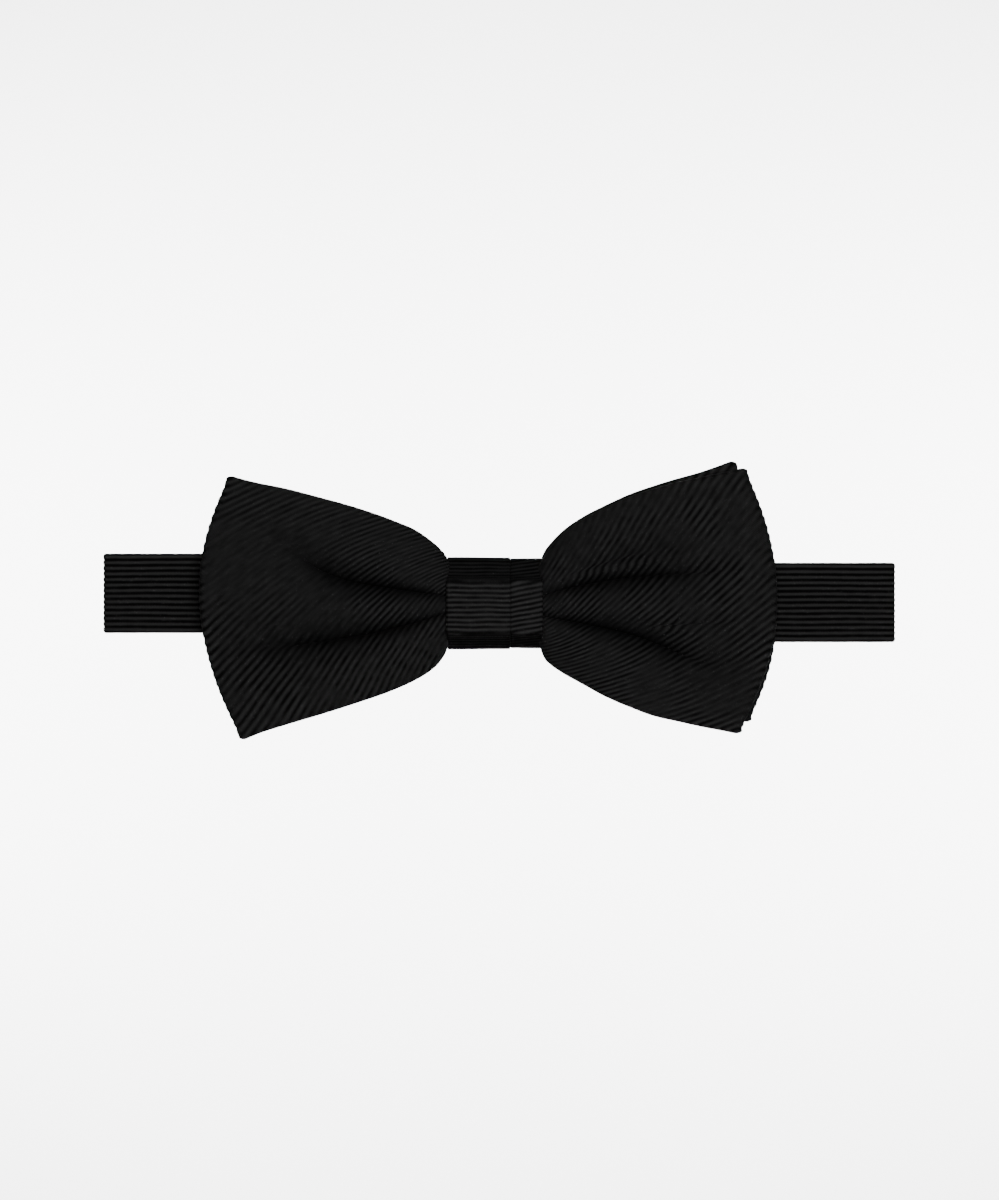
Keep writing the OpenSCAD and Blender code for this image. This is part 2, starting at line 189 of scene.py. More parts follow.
def smooth_through(points):
    """A smooth curve through (x, value) points, as a function of x."""
    x, value = np.array(points, float).T
    slope = np.gradient(value, x)

    def curve(at):
        at = np.clip(at, x[0], x[-1])
        i = np.clip(np.searchsorted(x, at) - 1, 0, len(x) - 2)
        span = x[i + 1] - x[i]
        t = (at - x[i]) / span
        return (
            value[i] * (1 + 2 * t) * (1 - t) ** 2
            + value[i + 1] * t * t * (3 - 2 * t)
            + span * (slope[i] * t * (1 - t) ** 2 - slope[i + 1] * t * t * (1 - t))
        )

    return curve


# %% [markdown]
# ## The shape of a wing
# A wing is a quarter of a loop. Its cloth is as tall as the end of the wing
# everywhere, but the knot squeezes it to a third of that, so the spare cloth
# stands up in ridges with two deep folds between them. The outline gives how
# tall the wing is at each distance from the centre, and the folds are curves
# drawn on it, each with a depth and a width that fade towards the end.

# %% Outlines of the wings: (distance from the centre, height)
RIGHT, LEFT = -1, 1  # the wearer's right is towards -X
OUTLINE = {
    ("front", RIGHT, "top"): [
        (8, 7.8), (10.2, 8.6), (11.2, 10.6), (12.4, 12.0), (14.4, 13.7), (17, 15.5),
        (22, 17.7), (30, 20.5), (38, 22.7), (46, 24.7), (53, 26.0), (57.5, 27.0),
    ],
    ("front", RIGHT, "bottom"): [
        (8, 7.8), (10.2, 8.8), (11.2, 11.4), (12.4, 13.2), (14.4, 15.0), (17, 16.6),
        (22, 18.9), (30, 21.7), (38, 24.2), (46, 26.5), (52.7, 28.5), (54.8, 29.3),
    ],
    ("front", LEFT, "top"): [
        (8, 7.8), (10.2, 8.8), (11.2, 11.2), (12.4, 12.8), (14.4, 14.7), (19.4, 18.2),
        (24.6, 20.8), (30, 23.0), (35, 24.6), (40, 26.0), (45.3, 27.1), (54.2, 28.7),
    ],
    ("front", LEFT, "bottom"): [
        (8, 7.8), (10.2, 8.9), (11.2, 12.2), (12.4, 13.5), (14.4, 14.9), (19.4, 17.7),
        (24.6, 20.5), (30, 22.8), (35, 24.6), (40, 25.7), (45.3, 26.8), (52.9, 28.0),
    ],
}
OUTLINE["rear", RIGHT, "top"] = [(x, z - 0.5) for x, z in OUTLINE["front", RIGHT, "top"]]
OUTLINE["rear", RIGHT, "bottom"] = [
    (x, z - 0.7) for x, z in OUTLINE["front", RIGHT, "bottom"]
]
OUTLINE["rear", LEFT, "top"] = [
    (8, 7.8), (10.2, 8.8), (11.2, 11.4), (12.4, 13.1), (14.4, 15.1), (19.4, 18.6),
    (24.6, 21.2), (30, 23.6), (35, 25.3), (40, 26.8), (45.3, 28.2), (52.0, 30.3),
]
OUTLINE["rear", LEFT, "bottom"] = [
    (x, z - 0.9) for x, z in OUTLINE["front", LEFT, "bottom"][:-2]
] + [(45.3, 25.0), (55.2, 25.6)]
TIP = {key: points[-1][0] for key, points in OUTLINE.items()}
BELLY = {
    ("front", RIGHT): 7.6, ("front", LEFT): 7.5, ("rear", RIGHT): 7.3, ("rear", LEFT): 7.4,
}

# %% The folds that the knot gathers into each wing
FOLDS = {
    RIGHT: [
        {
            "path": [
                (8, 1.0), (10.5, 1.4), (18, 2.4), (26, 3.6), (33, 5.1), (38, 7.2), (44, 11.2),
                (52, 17),
            ],
            "depth": [(8, 0.5), (12, 1.0), (30, 1.0), (37, 0.8), (43, 0.4), (52, 0)],
            "width": [(8, 0.7), (14, 0.9), (20, 1.3), (27, 2.0), (36, 3.4), (52, 5.0)],
        },
        {
            "path": [
                (8, -2.0), (10.5, -2.5), (18, -4.6), (26, -6.6), (33, -7.8), (41, -9.0),
                (50, -10.0), (60, -10.6),
            ],
            "depth": [(8, 0.5), (12, 1.0), (32, 1.0), (40, 0.9), (47, 0.65), (53, 0.35), (60, 0)],
            "width": [(8, 0.7), (14, 0.9), (20, 1.3), (27, 1.9), (38, 3.2), (52, 4.6)],
        },
        {
            "path": [(28, -6.4), (38, -5.7), (44, -5.2), (57, -3.6), (62, -3)],
            "depth": [(28, 0), (36, 0.28), (46, 0.24), (56, 0.1), (62, 0)],
            "width": [(28, 1.4), (36, 1.8), (50, 2.4)],
        },
    ],
    LEFT: [
        {
            "path": [(8, 1.2), (10.9, 1.7), (16, 3.1), (23, 4.5), (32, 5.6), (43, 6.3), (54, 6.6)],
            "depth": [(8, 0.5), (12, 1.0), (28, 1.0), (37, 0.8), (45, 0.4), (54, 0)],
            "width": [(8, 0.7), (14, 0.9), (20, 1.4), (27, 2.0), (38, 2.8), (52, 3.6)],
        },
        {
            "path": [
                (8, -2.4), (11.5, -3.1), (17, -4.2), (23, -5.4), (30, -7.1), (36, -9.3),
                (42, -11.9), (48, -13.6), (56, -13.2),
            ],
            "depth": [(8, 0.5), (12, 1.0), (30, 1.0), (38, 0.85), (44, 0.5), (50, 0.34), (56, 0.1)],
            "width": [(8, 0.7), (14, 0.9), (20, 1.4), (27, 2.1), (38, 3.2), (46, 4.6), (56, 5.0)],
        },
        {
            "path": [(24, -5.2), (34, -5.0), (42, -4.6), (50, -4.4), (58, -4)],
            "depth": [(24, 0), (34, 0.3), (46, 0.26), (58, 0)],
            "width": [(24, 1.0), (36, 1.6), (50, 2.4)],
        },
        {
            "path": [(14, 5.5), (22, 8.0), (30, 10.2), (38, 11.6), (48, 12.6)],
            "depth": [(14, 0), (22, 0.3), (34, 0.34), (48, 0)],
            "width": [(14, 2.6), (30, 4.4), (48, 4.8)],
        },
    ],
}


def fold_share(side, x, z):
    """How much of the swell a fold takes away at each point, 0 to 1."""
    share = np.zeros_like(x)
    for fold in FOLDS[side]:
        path, depth, width = (smooth_through(fold[k]) for k in ("path", "depth", "width"))
        away = np.abs(z - path(x)) / width(x)
        inside = (x > fold["path"][0][0]) & (x < fold["path"][-1][0])
        hollow = 0.78 * np.exp(-((away / 1.15) ** 1.3)) + 0.22 * np.exp(-((3.0 * away) ** 2))
        share = np.maximum(share, inside * depth(x) * hollow)
    return share


# %% [markdown]
# ## From outline to cloth
# One function gives the middle of a wing's cloth at a place along the wing
# (t) and across it (v), for the layer in front and the layer behind. The
# front layer swells forward between the folds and rolls back at its edges,
# and the layer behind stays nearly flat.

# %% Place a point of a wing
WAIST_X = 8.0
FRONT_SWELL = 6.0
REAR_SWELL = 0.9
WAIST_SQUEEZE = {"front": 0.10, "rear": 0.24}  # the binding thread rounds the waist
WAIST_ROUND = {"front": 2.8, "rear": 0.8}


def wing(bow, side, t, v, layer):
    tops = smooth_through(OUTLINE[bow, side, "top"])
    bottoms = smooth_through(OUTLINE[bow, side, "bottom"])
    top_tip, bottom_tip = TIP[bow, side, "top"], TIP[bow, side, "bottom"]
    rise = (v + 1) / 2
    mix = rise * rise * (3 - 2 * rise)
    top = tops(WAIST_X + (top_tip - WAIST_X) * t) - CLOTH / 2
    bottom = bottoms(WAIST_X + (bottom_tip - WAIST_X) * t) - CLOTH / 2
    z = v * (bottom + (top - bottom) * mix)
    end = bottom_tip + (top_tip - bottom_tip) * rise + BELLY[bow, side] * (1 - v * v)
    end = end - BOW_HALF - CLOTH / 2 + 0.5 * np.abs(v) ** 24
    x = WAIST_X + (end - WAIST_X) * t
    z = z + 0.3 * np.sign(v) * np.abs(v) ** 24 * t**10  # a crisp corner
    u = np.clip(t, 0, 1) ** (2 / 3)
    swell = np.sin(math.pi * u) * (1 - 0.3 * v * v - 0.25 * np.abs(v) ** 7)
    lean = (2 * 0.45 * swell + 1.2 * u * u) if bow == "front" else 0 * u
    share = fold_share(side, x, z)
    if layer == "front":
        rise_mm = (FRONT_SWELL - 0.9 if bow == "front" else REAR_SWELL) * swell
        y = level[bow] - BOW_HALF - rise_mm * (1 - share)
        y = y + (0.9 * 0.8 * share * swell if bow == "front" else 0)
        y = y - 0.12 * np.sin(x / 5.1 + z / 3.7) * np.sin(math.pi * u)
    else:
        y = level[bow] + BOW_HALF - 0.8 * share * np.sin(math.pi * np.sqrt(u))
        y = y + (0.1 * swell if bow == "rear" else 0)
    grip = np.exp((WAIST_X - x) / 1.3)
    y = y + WAIST_ROUND[bow] * np.exp((WAIST_X - x) / 3.2) * v**4
    return np.stack([side * x, y - lean, z * (1 - WAIST_SQUEEZE[bow] * grip)], axis=-1)


# %% [markdown]
# ## The cords of the cloth
# The bow is cut on the slant from a cloth with thick cords, 1.25 mm apart.
# In the flat strip the cords lean at 40 degrees. Where the knot draws the
# strip together, the cloth turns with it and the cords fan out, steep on
# one edge of a wing and shallow on the other. So the pattern is laid on
# circles round the knot: P runs outwards and Q round.

# %% Lay the cord pattern on a wing
CORD_PITCH = 1.25
CORD_ANGLE = math.radians(40)
FAN_RADIUS = 40.0
FAN_POWER = 0.6


def cord_pattern(place, side, end_radius=None):
    """U across the cords and V along them, in mm. For the layer behind, the
    cloth comes back from the fold at the end of the wing."""
    radius = np.hypot(place[..., 0], place[..., 2])
    turn = np.arctan2(place[..., 2], np.abs(place[..., 0]) + 1e-6)
    stretch = FAN_RADIUS * (radius / FAN_RADIUS) ** FAN_POWER
    p, q = stretch / FAN_POWER, turn * stretch
    if end_radius is not None:
        p = 2 * FAN_RADIUS * (end_radius / FAN_RADIUS) ** FAN_POWER / FAN_POWER - p
    p = p * side
    across = -math.sin(CORD_ANGLE) * p + math.cos(CORD_ANGLE) * q
    along = math.cos(CORD_ANGLE) * p + math.sin(CORD_ANGLE) * q
    across = across + 0.10 * np.sin(along / 6.3) + 0.05 * np.sin(along / 2.1 + across / 5)
    return np.stack([across, along], axis=-1)


# %% Where ironing has pressed the cords flat


def soft_step(value, start, end):
    t = np.clip((value - start) / (end - start), 0, 1)
    return t * t * (3 - 2 * t)


def pressed_flat(bow, side, x, z):
    """The outer upper part of one wing and a band along the top of the other."""
    if side == RIGHT:
        return soft_step(x, 24, 40) * soft_step(z, -8, 4) * (1 - 0.5 * soft_step(z, 14, 22))
    edge = smooth_through(OUTLINE[bow, side, "top"])(x) - z
    return (1 - soft_step(edge, 3.0, 6.5)) * (1 - soft_step(x, 34, 50))


# %% Sew one bow: back join, wing, end fold, front, and the other side the same
CORD_HEIGHT = 0.17
END_RADIUS = 63.0  # where the cloth turns back at the end of a wing
WAIST_HALF_H = 7.2  # half the height of the cloth where the thread grips it


def bow_rows(bow, fine, coarse):
    """(t, turn) down one half of the loop, from the back join to the front."""
    behind, before = (fine, coarse) if bow == "rear" else (coarse, fine)
    rows = [("waist", x, 90) for x in (0.25, 2.5, 5.0, 7.0)]
    rows += [("wing", t, 90) for t in np.linspace(0, 1, behind)]
    rows += [("wing", 1.0, a) for a in (68, 45, 22, 0, -22, -45, -68)]
    rows += [("wing", t, -90) for t in np.linspace(1, 0, before)]
    rows += [("waist", x, -90) for x in (7.0, 5.0, 2.5)]
    return rows


def bow_surface(bow, columns, fine, coarse, reach=1.0):
    v = np.linspace(-reach, reach, columns)
    mid, cords = [], []
    for side in (RIGHT, LEFT):
        half, pattern = [], []
        for kind, at, turn in bow_rows(bow, fine, coarse):
            end_radius = END_RADIUS if turn > 0 else None
            if kind == "waist":
                y = level[bow] + BOW_HALF * math.copysign(1, turn)
                y = y + WAIST_ROUND[bow] * v**4
                z = v * WAIST_HALF_H * (1 - WAIST_SQUEEZE[bow])
                line = np.stack([v * 0 + side * at, y, z], axis=-1)
            elif abs(turn) == 90:
                line = wing(bow, side, np.full_like(v, at), v, "front" if turn < 0 else "back")
            else:
                ends = [wing(bow, side, np.ones_like(v), v, k) for k in ("front", "back")]
                line = (ends[0] + ends[1]) / 2
                line[:, 0] += side * BOW_HALF * math.cos(math.radians(turn))
                line[:, 1] += BOW_HALF * math.sin(math.radians(turn))
            half.append(line)
            # Painted shade: the front of a wing is marked darker where a fold takes the swell away,
            # more the deeper the fold.
            fold_shade = fold_share(side, np.abs(line[:, 0]), line[:, 2]) * (turn == -90)
            flat = pressed_flat(bow, side, np.abs(line[:, 0]), line[:, 2]) * (turn == -90)
            marks = np.stack([fold_shade, flat], axis=1)
            pattern.append(np.append(cord_pattern(line, side, end_radius), marks, axis=1))
        mid += half if side == RIGHT else half[::-1]
        cords += pattern if side == RIGHT else pattern[::-1]
    return np.array(mid), np.array(cords)


def sew_bow(bow):
    mid, cords = bow_surface(bow, 190, 140, 26)
    lift = ribs(cords[..., 0], CORD_PITCH, CORD_HEIGHT) * (1 - 0.6 * cords[..., 3])
    rings, pattern = tube_rings(mid, CLOTH / 2, cords, lift, coarse=60)
    piece = sew_tube(bow + "_bow_cloth", rings, pattern)
    print(piece.name, len(piece.data.polygons), "faces")
    return piece


front_bow = sew_bow("front")
rear_bow = sew_bow("rear")

# %% [markdown]
# ## Finishing a piece
# Each piece takes its finish and is attached to the imported body it moves
# with, and the imported solids it stands for are hidden. A piece that spans
# two bodies is only fixed in place and moves with neither. That is the same
# four lines every time, so they are one helper.

# %% Give a piece its finish and its body, or fix it in place, and hide the solids it stands for


def finish_piece(piece, finish, slot, stands_for, body=None, bend=None):
    piece.data.materials.clear()
    piece.data.materials.append(finish)
    if bend:
        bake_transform(piece)
    else:
        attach(piece, body)
    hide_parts(*stands_for)
    faces = len(piece.data.polygons)
    print(f"{piece.name}: {faces} faces, stands for {', '.join(stands_for)}")


def mm_point(point):
    return tuple(c * MM for c in point)


def linear(code):
    """Turns an sRGB hex colour into the linear values a shader wants."""
    channels = [int(code[i : i + 2], 16) / 255 for i in (1, 3, 5)]
    return [
        c / 12.92 if c <= 0.04045 else ((c + 0.055) / 1.055) ** 2.4 for c in channels
    ] + [1.0]


def add_node(tree, kind, settings=None, inputs=None):
    made = tree.nodes.new(kind)
    for key, value in (settings or {}).items():
        setattr(made, key, value)
    for socket, value in (inputs or {}).items():
        if isinstance(value, bpy.types.NodeSocket):
            tree.links.new(value, made.inputs[socket])
        else:
            made.inputs[socket].default_value = value
    return made


def new_material(name):
    material = bpy.data.materials.new(name)
    material.use_nodes = True
    tree = material.node_tree
    return material, tree, tree.nodes["Principled BSDF"]


# %% [markdown]
# ## Ribbed black cloth
# The cloth is a heavy ribbed silk: thick cords lie side by side and fine
# thread is packed over them, so each cord is a smooth round ridge with a
# dark groove beside it. The cords themselves are real shape in the mesh.
# The material adds what is finer: the thread over the cords, about 0.3 mm
# apart, slubs where the thread is thicker, and a trace of sheen. It also
# paints light: the tops of the cords take a lighter colour as a painted
# highlight and the grooves a darker one as painted shade. Two marks in the
# mesh steer it. One is painted shade that darkens the cloth deep in a pleat
# and on the rolled top and bottom of the knot; pressed calms the cords
# where ironing has flattened them.

# %% Make a ribbed cloth


def ribbed_cloth(name, groove_shade, crown_highlight, pitch, contrast, roughness=0.7, sheen=0.003):
    material, tree, shader = new_material(name)
    uv = add_node(tree, "ShaderNodeUVMap", {"uv_map": "cords"}).outputs[0]
    split = add_node(tree, "ShaderNodeSeparateXYZ", inputs={0: uv}).outputs

    def math_node(operation, a, b=0.0, c=0.0):
        return add_node(
            tree, "ShaderNodeMath", {"operation": operation}, {0: a, 1: b, 2: c}
        ).outputs[0]

    def noise(scale_mm, along=1.0, detail=3.0):
        stretched = add_node(
            tree, "ShaderNodeCombineXYZ",
            inputs={0: split[0], 1: math_node("MULTIPLY", split[1], along)},
        ).outputs[0]
        return add_node(
            tree, "ShaderNodeTexNoise", {"noise_dimensions": "2D"},
            {"Vector": stretched, "Scale": 1 / (scale_mm * MM), "Detail": detail},
        ).outputs[0]

    turn = math_node("MULTIPLY", split[0], 2 * math.pi / (pitch * MM))
    crown_share = math_node("MULTIPLY_ADD", math_node("COSINE", turn), -0.5, 0.5)
    slub = noise(1.1, along=0.35)
    thread_turn = math_node("MULTIPLY", split[1], 2 * math.pi / (0.33 * MM))
    wander = math_node("MULTIPLY_ADD", slub, 5.0, thread_turn)
    thread = math_node("MULTIPLY_ADD", math_node("SINE", wander), 0.5, 0.5)
    fuzz = noise(0.16)
    mottle = noise(11.0)
    patch = add_node(
        tree, "ShaderNodeMapRange",
        inputs={0: mottle, 1: 0.36, 2: 0.62, 3: contrast[0], 4: contrast[1]},
    ).outputs[0]
    pressed = add_node(tree, "ShaderNodeAttribute", {"attribute_name": "pressed"}).outputs["Fac"]
    patch = math_node("MULTIPLY", patch, math_node("MULTIPLY_ADD", pressed, -0.75, 1.0))
    # Painted light: the tone follows the cords, lighter on their tops as a painted highlight and
    # darker in the grooves as painted shade; slubs, fuzz and thread add real texture.
    tone = math_node("MULTIPLY", math_node("SUBTRACT", crown_share, 0.5), patch)
    tone = math_node("MULTIPLY_ADD", slub, 0.7, tone)
    tone = math_node("MULTIPLY_ADD", fuzz, 0.5, math_node("SUBTRACT", tone, 0.15))
    tone = math_node("MULTIPLY_ADD", thread, 0.12, tone)
    colour = add_node(
        tree, "ShaderNodeMix", {"data_type": "RGBA", "clamp_factor": True},
        {0: tone, 6: linear(groove_shade), 7: linear(crown_highlight)},
    ).outputs[2]
    # Painted shade: cloth in a pleat and on the knot's rolled bands is mixed towards near-black.
    folded = add_node(tree, "ShaderNodeAttribute", {"attribute_name": "painted_shade"}).outputs["Fac"]
    colour = add_node(
        tree, "ShaderNodeMix", {"data_type": "RGBA"},
        {0: math_node("MULTIPLY", folded, 0.8), 6: colour, 7: linear("#010101")},
    ).outputs[2]
    height = math_node("MULTIPLY_ADD", crown_share, 0.5, math_node("MULTIPLY", thread, 0.3))
    height = math_node("MULTIPLY_ADD", fuzz, 0.5, height)
    height = math_node("MULTIPLY_ADD", slub, 0.5, height)
    bump = add_node(
        tree, "ShaderNodeBump", inputs={"Strength": 0.6, "Distance": 0.12 * MM, "Height": height}
    ).outputs[0]
    rough = math_node("MULTIPLY_ADD", slub, 0.24, roughness - 0.12)
    tree.links.new(colour, shader.inputs["Base Color"])
    tree.links.new(bump, shader.inputs["Normal"])
    tree.links.new(rough, shader.inputs["Roughness"])
    shader.inputs["IOR"].default_value = 1.5
    shader.inputs["Specular IOR Level"].default_value = 0.01
    shader.inputs["Sheen Weight"].default_value = sheen
    shader.inputs["Sheen Roughness"].default_value = 0.5
    return material


bow_silk = ribbed_cloth("ribbed_black_silk", "#050505", "#202020", CORD_PITCH, (0.2, 1.0))

# %% [markdown]
# ## Interlining, thread and plated metal
# Inside each strip lies a stiff undyed woven interlining that keeps the
# cloth flat. The strips are sewn with black polyester thread. The clasp
# and the slider are stamped steel with a bright nickel plate.

# %% Make the interlining, the thread and the metal


def plain_weave(name, dark, light, spacing):
    """An over-and-under weave of threads, read from the piece's own place."""
    material, tree, shader = new_material(name)
    place = add_node(tree, "ShaderNodeTexCoord").outputs["Object"]
    waves = []
    for direction in ("X", "Z"):
        waves.append(
            add_node(
                tree, "ShaderNodeTexWave", {"bands_direction": direction},
                {"Vector": place, "Scale": 0.314 / (spacing * MM), "Distortion": 0.6,
                 "Detail": 1.0},
            ).outputs[1]
        )
    weave = add_node(
        tree, "ShaderNodeMath", {"operation": "MULTIPLY"}, {0: waves[0], 1: waves[1]}
    ).outputs[0]
    colour = add_node(
        tree, "ShaderNodeMix", {"data_type": "RGBA"}, {0: weave, 6: linear(dark), 7: linear(light)}
    ).outputs[2]
    bump = add_node(
        tree, "ShaderNodeBump", inputs={"Strength": 0.5, "Distance": 0.1 * MM, "Height": weave}
    ).outputs[0]
    tree.links.new(colour, shader.inputs["Base Color"])
    tree.links.new(bump, shader.inputs["Normal"])
    shader.inputs["Roughness"].default_value = 0.85
    return material


def twisted_thread(name, dark, light):
    material, tree, shader = new_material(name)
    place = add_node(tree, "ShaderNodeTexCoord").outputs["Object"]
    twist = add_node(
        tree, "ShaderNodeTexWave", {"bands_direction": "DIAGONAL"},
        {"Vector": place, "Scale": 0.314 / (0.25 * MM), "Distortion": 0.3},
    ).outputs[1]
    colour = add_node(
        tree, "ShaderNodeMix", {"data_type": "RGBA"}, {0: twist, 6: linear(dark), 7: linear(light)}
    ).outputs[2]
    bump = add_node(
        tree, "ShaderNodeBump", inputs={"Strength": 0.5, "Distance": 0.06 * MM, "Height": twist}
    ).outputs[0]
    tree.links.new(colour, shader.inputs["Base Color"])
    tree.links.new(bump, shader.inputs["Normal"])
    shader.inputs["Roughness"].default_value = 0.5
    shader.inputs["Specular IOR Level"].default_value = 0.08
    return material


def plated_steel(name, plate, worn):
    """Bright plate with fine rolling lines along the strip and a few worn spots."""
    material, tree, shader = new_material(name)
    place = add_node(tree, "ShaderNodeTexCoord").outputs["Object"]
    lines = add_node(
        tree, "ShaderNodeMapping", inputs={"Vector": place, "Scale": (900, 900, 9000)}
    ).outputs[0]
    grain = add_node(
        tree, "ShaderNodeTexNoise", inputs={"Vector": lines, "Scale": 1.0, "Detail": 4.0}
    ).outputs[0]
    spots = add_node(
        tree, "ShaderNodeTexNoise", inputs={"Vector": place, "Scale": 420.0, "Detail": 5.0}
    ).outputs[0]
    colour = add_node(
        tree, "ShaderNodeMix", {"data_type": "RGBA"}, {0: spots, 6: linear(plate), 7: linear(worn)}
    ).outputs[2]
    rough = add_node(
        tree, "ShaderNodeMapRange", inputs={0: grain, 3: 0.2, 4: 0.42}
    ).outputs[0]
    bump = add_node(
        tree, "ShaderNodeBump", inputs={"Strength": 0.15, "Distance": 0.02 * MM, "Height": grain}
    ).outputs[0]
    tree.links.new(colour, shader.inputs["Base Color"])
    tree.links.new(rough, shader.inputs["Roughness"])
    tree.links.new(bump, shader.inputs["Normal"])
    shader.inputs["Metallic"].default_value = 1.0
    return material


interlining = plain_weave("woven_interlining", "#B7B2A2", "#D8D4C6", 0.5)
black_thread = twisted_thread("black_polyester_thread", "#040404", "#1A1A1A")
nickel = plated_steel("nickel_plated_steel", "#BDBAB4", "#8F8C86")


def line_bow(bow):
    mid, cords = bow_surface(bow, 90, 60, 40, reach=0.94)
    flat = np.zeros(cords.shape[:2])
    rings, pattern = tube_rings(mid, 0.12, cords, flat, flat)
    return sew_tube(bow + "_bow_stay", rings, pattern)


for bow, cloth in (("front", front_bow), ("rear", rear_bow)):
    finish_piece(cloth, bow_silk, "bow_cloth", [f"{bow}_bow_shell"], body="bow")
    finish_piece(
        line_bow(bow), interlining, "interlining", [f"{bow}_bow_interlining"], body="bow"
    )

# %% [markdown]
# ## The knot
# The knot is a strip folded lengthwise and wrapped once round the waist.
# Its cords run level across it, because they follow the strip's width. One
# folded panel lies over the other and ends in a crisp edge, to the wearer's
# left of the middle; the panel underneath was caught a little askew, so its
# cords climb. The front is rounder at the top than at the bottom.

# %% Helpers for lines in a plane


def ramp(start, end, count):
    """An easy S-shaped ramp between two (x, y) points."""
    t = np.linspace(0, 1, count)[:, None]
    ease = t * t * (3 - 2 * t)
    start, end = np.array(start, float), np.array(end, float)
    return np.concatenate(
        [start[:1] + (end[:1] - start[:1]) * t, start[1:] + (end[1:] - start[1:]) * ease],
        axis=1,
    )


def even_steps(line, count):
    """The same line as count points, all the same distance apart."""
    length = np.concatenate([[0], np.cumsum(np.hypot(*np.diff(line, axis=0).T))])
    at = np.linspace(0, length[-1], count)
    return np.stack([np.interp(at, length, line[:, k]) for k in (0, 1)], axis=1)


# %% Wrap the knot
KNOT_HALF = 0.45  # half the thickness of the strip
KNOT_H = 19.5
EDGE_X = 3.4
STEP = 0.22
SKEW = math.radians(11)
KNOT_PITCH = 1.05


def knot_path(count, inset=0.0):
    """The strip's middle line round the waist as (y, z), from the seam at the
    back, down, along the bottom, up the front, and back over the top. It is
    a run of straight lines whose corners are then worn round."""
    front, back = low("knot_band", Y) - 0.6, high("knot_band", Y) - 0.6
    tall = KNOT_H / 2 - 0.78
    corners = [
        (back, -0.15), (back, -tall), (front + 6.2, -tall - 0.55), (front, -6.7), (front, 4.5),
        (front + 6.2, tall + 0.2), (back, tall), (back, 0.15),
    ]
    line = np.concatenate([ramp(a, b, 300) for a, b in zip(corners, corners[1:])])
    line = even_steps(line, 1500)
    for _ in range(2):
        window = np.ones(21 if inset == 0 else 71)
        padded = np.pad(line, ((len(window) // 2,) * 2, (0, 0)), mode="edge")
        line = np.stack(
            [np.convolve(padded[:, k], window / len(window), "valid") for k in (0, 1)], axis=1
        )
    along = unit(np.gradient(line, axis=0))
    line = line + inset * np.stack([along[:, 1], -along[:, 0]], axis=1)
    y, z = even_steps(line, count).T
    length = np.concatenate([[0], np.cumsum(np.hypot(np.diff(y), np.diff(z)))])
    front_middle = np.argmin(np.abs(z) + 99 * (y > front + 2))
    return y, z, length - length[front_middle]


def wrap_knot():
    y, z, length = knot_path(330)
    edge = knot_half_w - KNOT_HALF
    columns = np.concatenate(
        [
            np.linspace(edge, EDGE_X + 0.3, 22),
            EDGE_X + np.array([0.16, 0.06, 0.0, -0.06, -0.16]),
            np.linspace(EDGE_X - 0.35, -edge, 40),
        ]
    )
    w, x = np.meshgrid(length, columns, indexing="ij")
    mid = np.stack([x, y[:, None] + 0 * x, z[:, None] + 0 * x], axis=-1)
    # the strip bows out a little in the middle of its width
    over = 1 / (1 + np.exp((x - EDGE_X) / 0.03))
    across = np.where(x > EDGE_X, w * math.cos(SKEW) - (x - EDGE_X) * math.sin(SKEW), w)
    across = across + 0.06 * np.sin(x / 2.9 + w / 1.7) + 0.04 * np.sin(x / 1.1)
    slope = np.abs(np.gradient(y) / np.hypot(np.gradient(y), np.gradient(z)))[:, None]
    rolled = np.clip((slope - 0.35) / 0.4, 0, 1)
    # Painted shade: where the strip rolls over the top and bottom, away from the light, the cloth
    # is marked darker, more at the bottom than at the top.
    shade = rolled * np.clip((1.02 - slope) / 0.05, 0, 1) * np.where(z > 0, 0.72, 1.1)[:, None]
    cords = np.stack([across, x, shade + 0 * x], axis=-1)
    lift = STEP * over + (1 - 0.75 * rolled) * ribs(across, KNOT_PITCH, 0.16)
    lift -= 0.22 * np.exp(-(((x - EDGE_X - 0.05) / 0.09) ** 2))
    lift += 0.05 * np.sin(x / 3.3 + 1.0) * np.cos(w / 4.1)
    rings, pattern = tube_rings(mid, KNOT_HALF - 0.05, cords, lift)
    return sew_tube("knot_band_cloth", rings, pattern)


knot_silk = ribbed_cloth(
    "ribbed_black_silk_across", "#060606", "#242424", KNOT_PITCH, (0.7, 1.1)
)
knot = wrap_knot()
finish_piece(knot, knot_silk, "bow_cloth", ["knot_band"], body="bow")


def line_knot():
    y, z, length = knot_path(90)
    x = np.linspace(knot_half_w - 1, 1 - knot_half_w, 9)
    w, x = np.meshgrid(length, x, indexing="ij")
    mid = np.stack([x, y[:, None] + 0 * x, z[:, None] + 0 * x], axis=-1)
    cords = np.stack([w, x], axis=-1)
    rings, pattern = tube_rings(mid, 0.15, cords, np.zeros_like(w))
    return sew_tube("knot_stay", rings, pattern)


finish_piece(line_knot(), interlining, "interlining", ["knot_interlining"], body="bow")

# %% [markdown]
# Under the knot the two bows are drawn together by a few turns of strong
# thread. They lie side by side and follow the rounded waist.

# %% Wind the binding thread round the waist
TURNS, THREAD_R = 7, 0.28


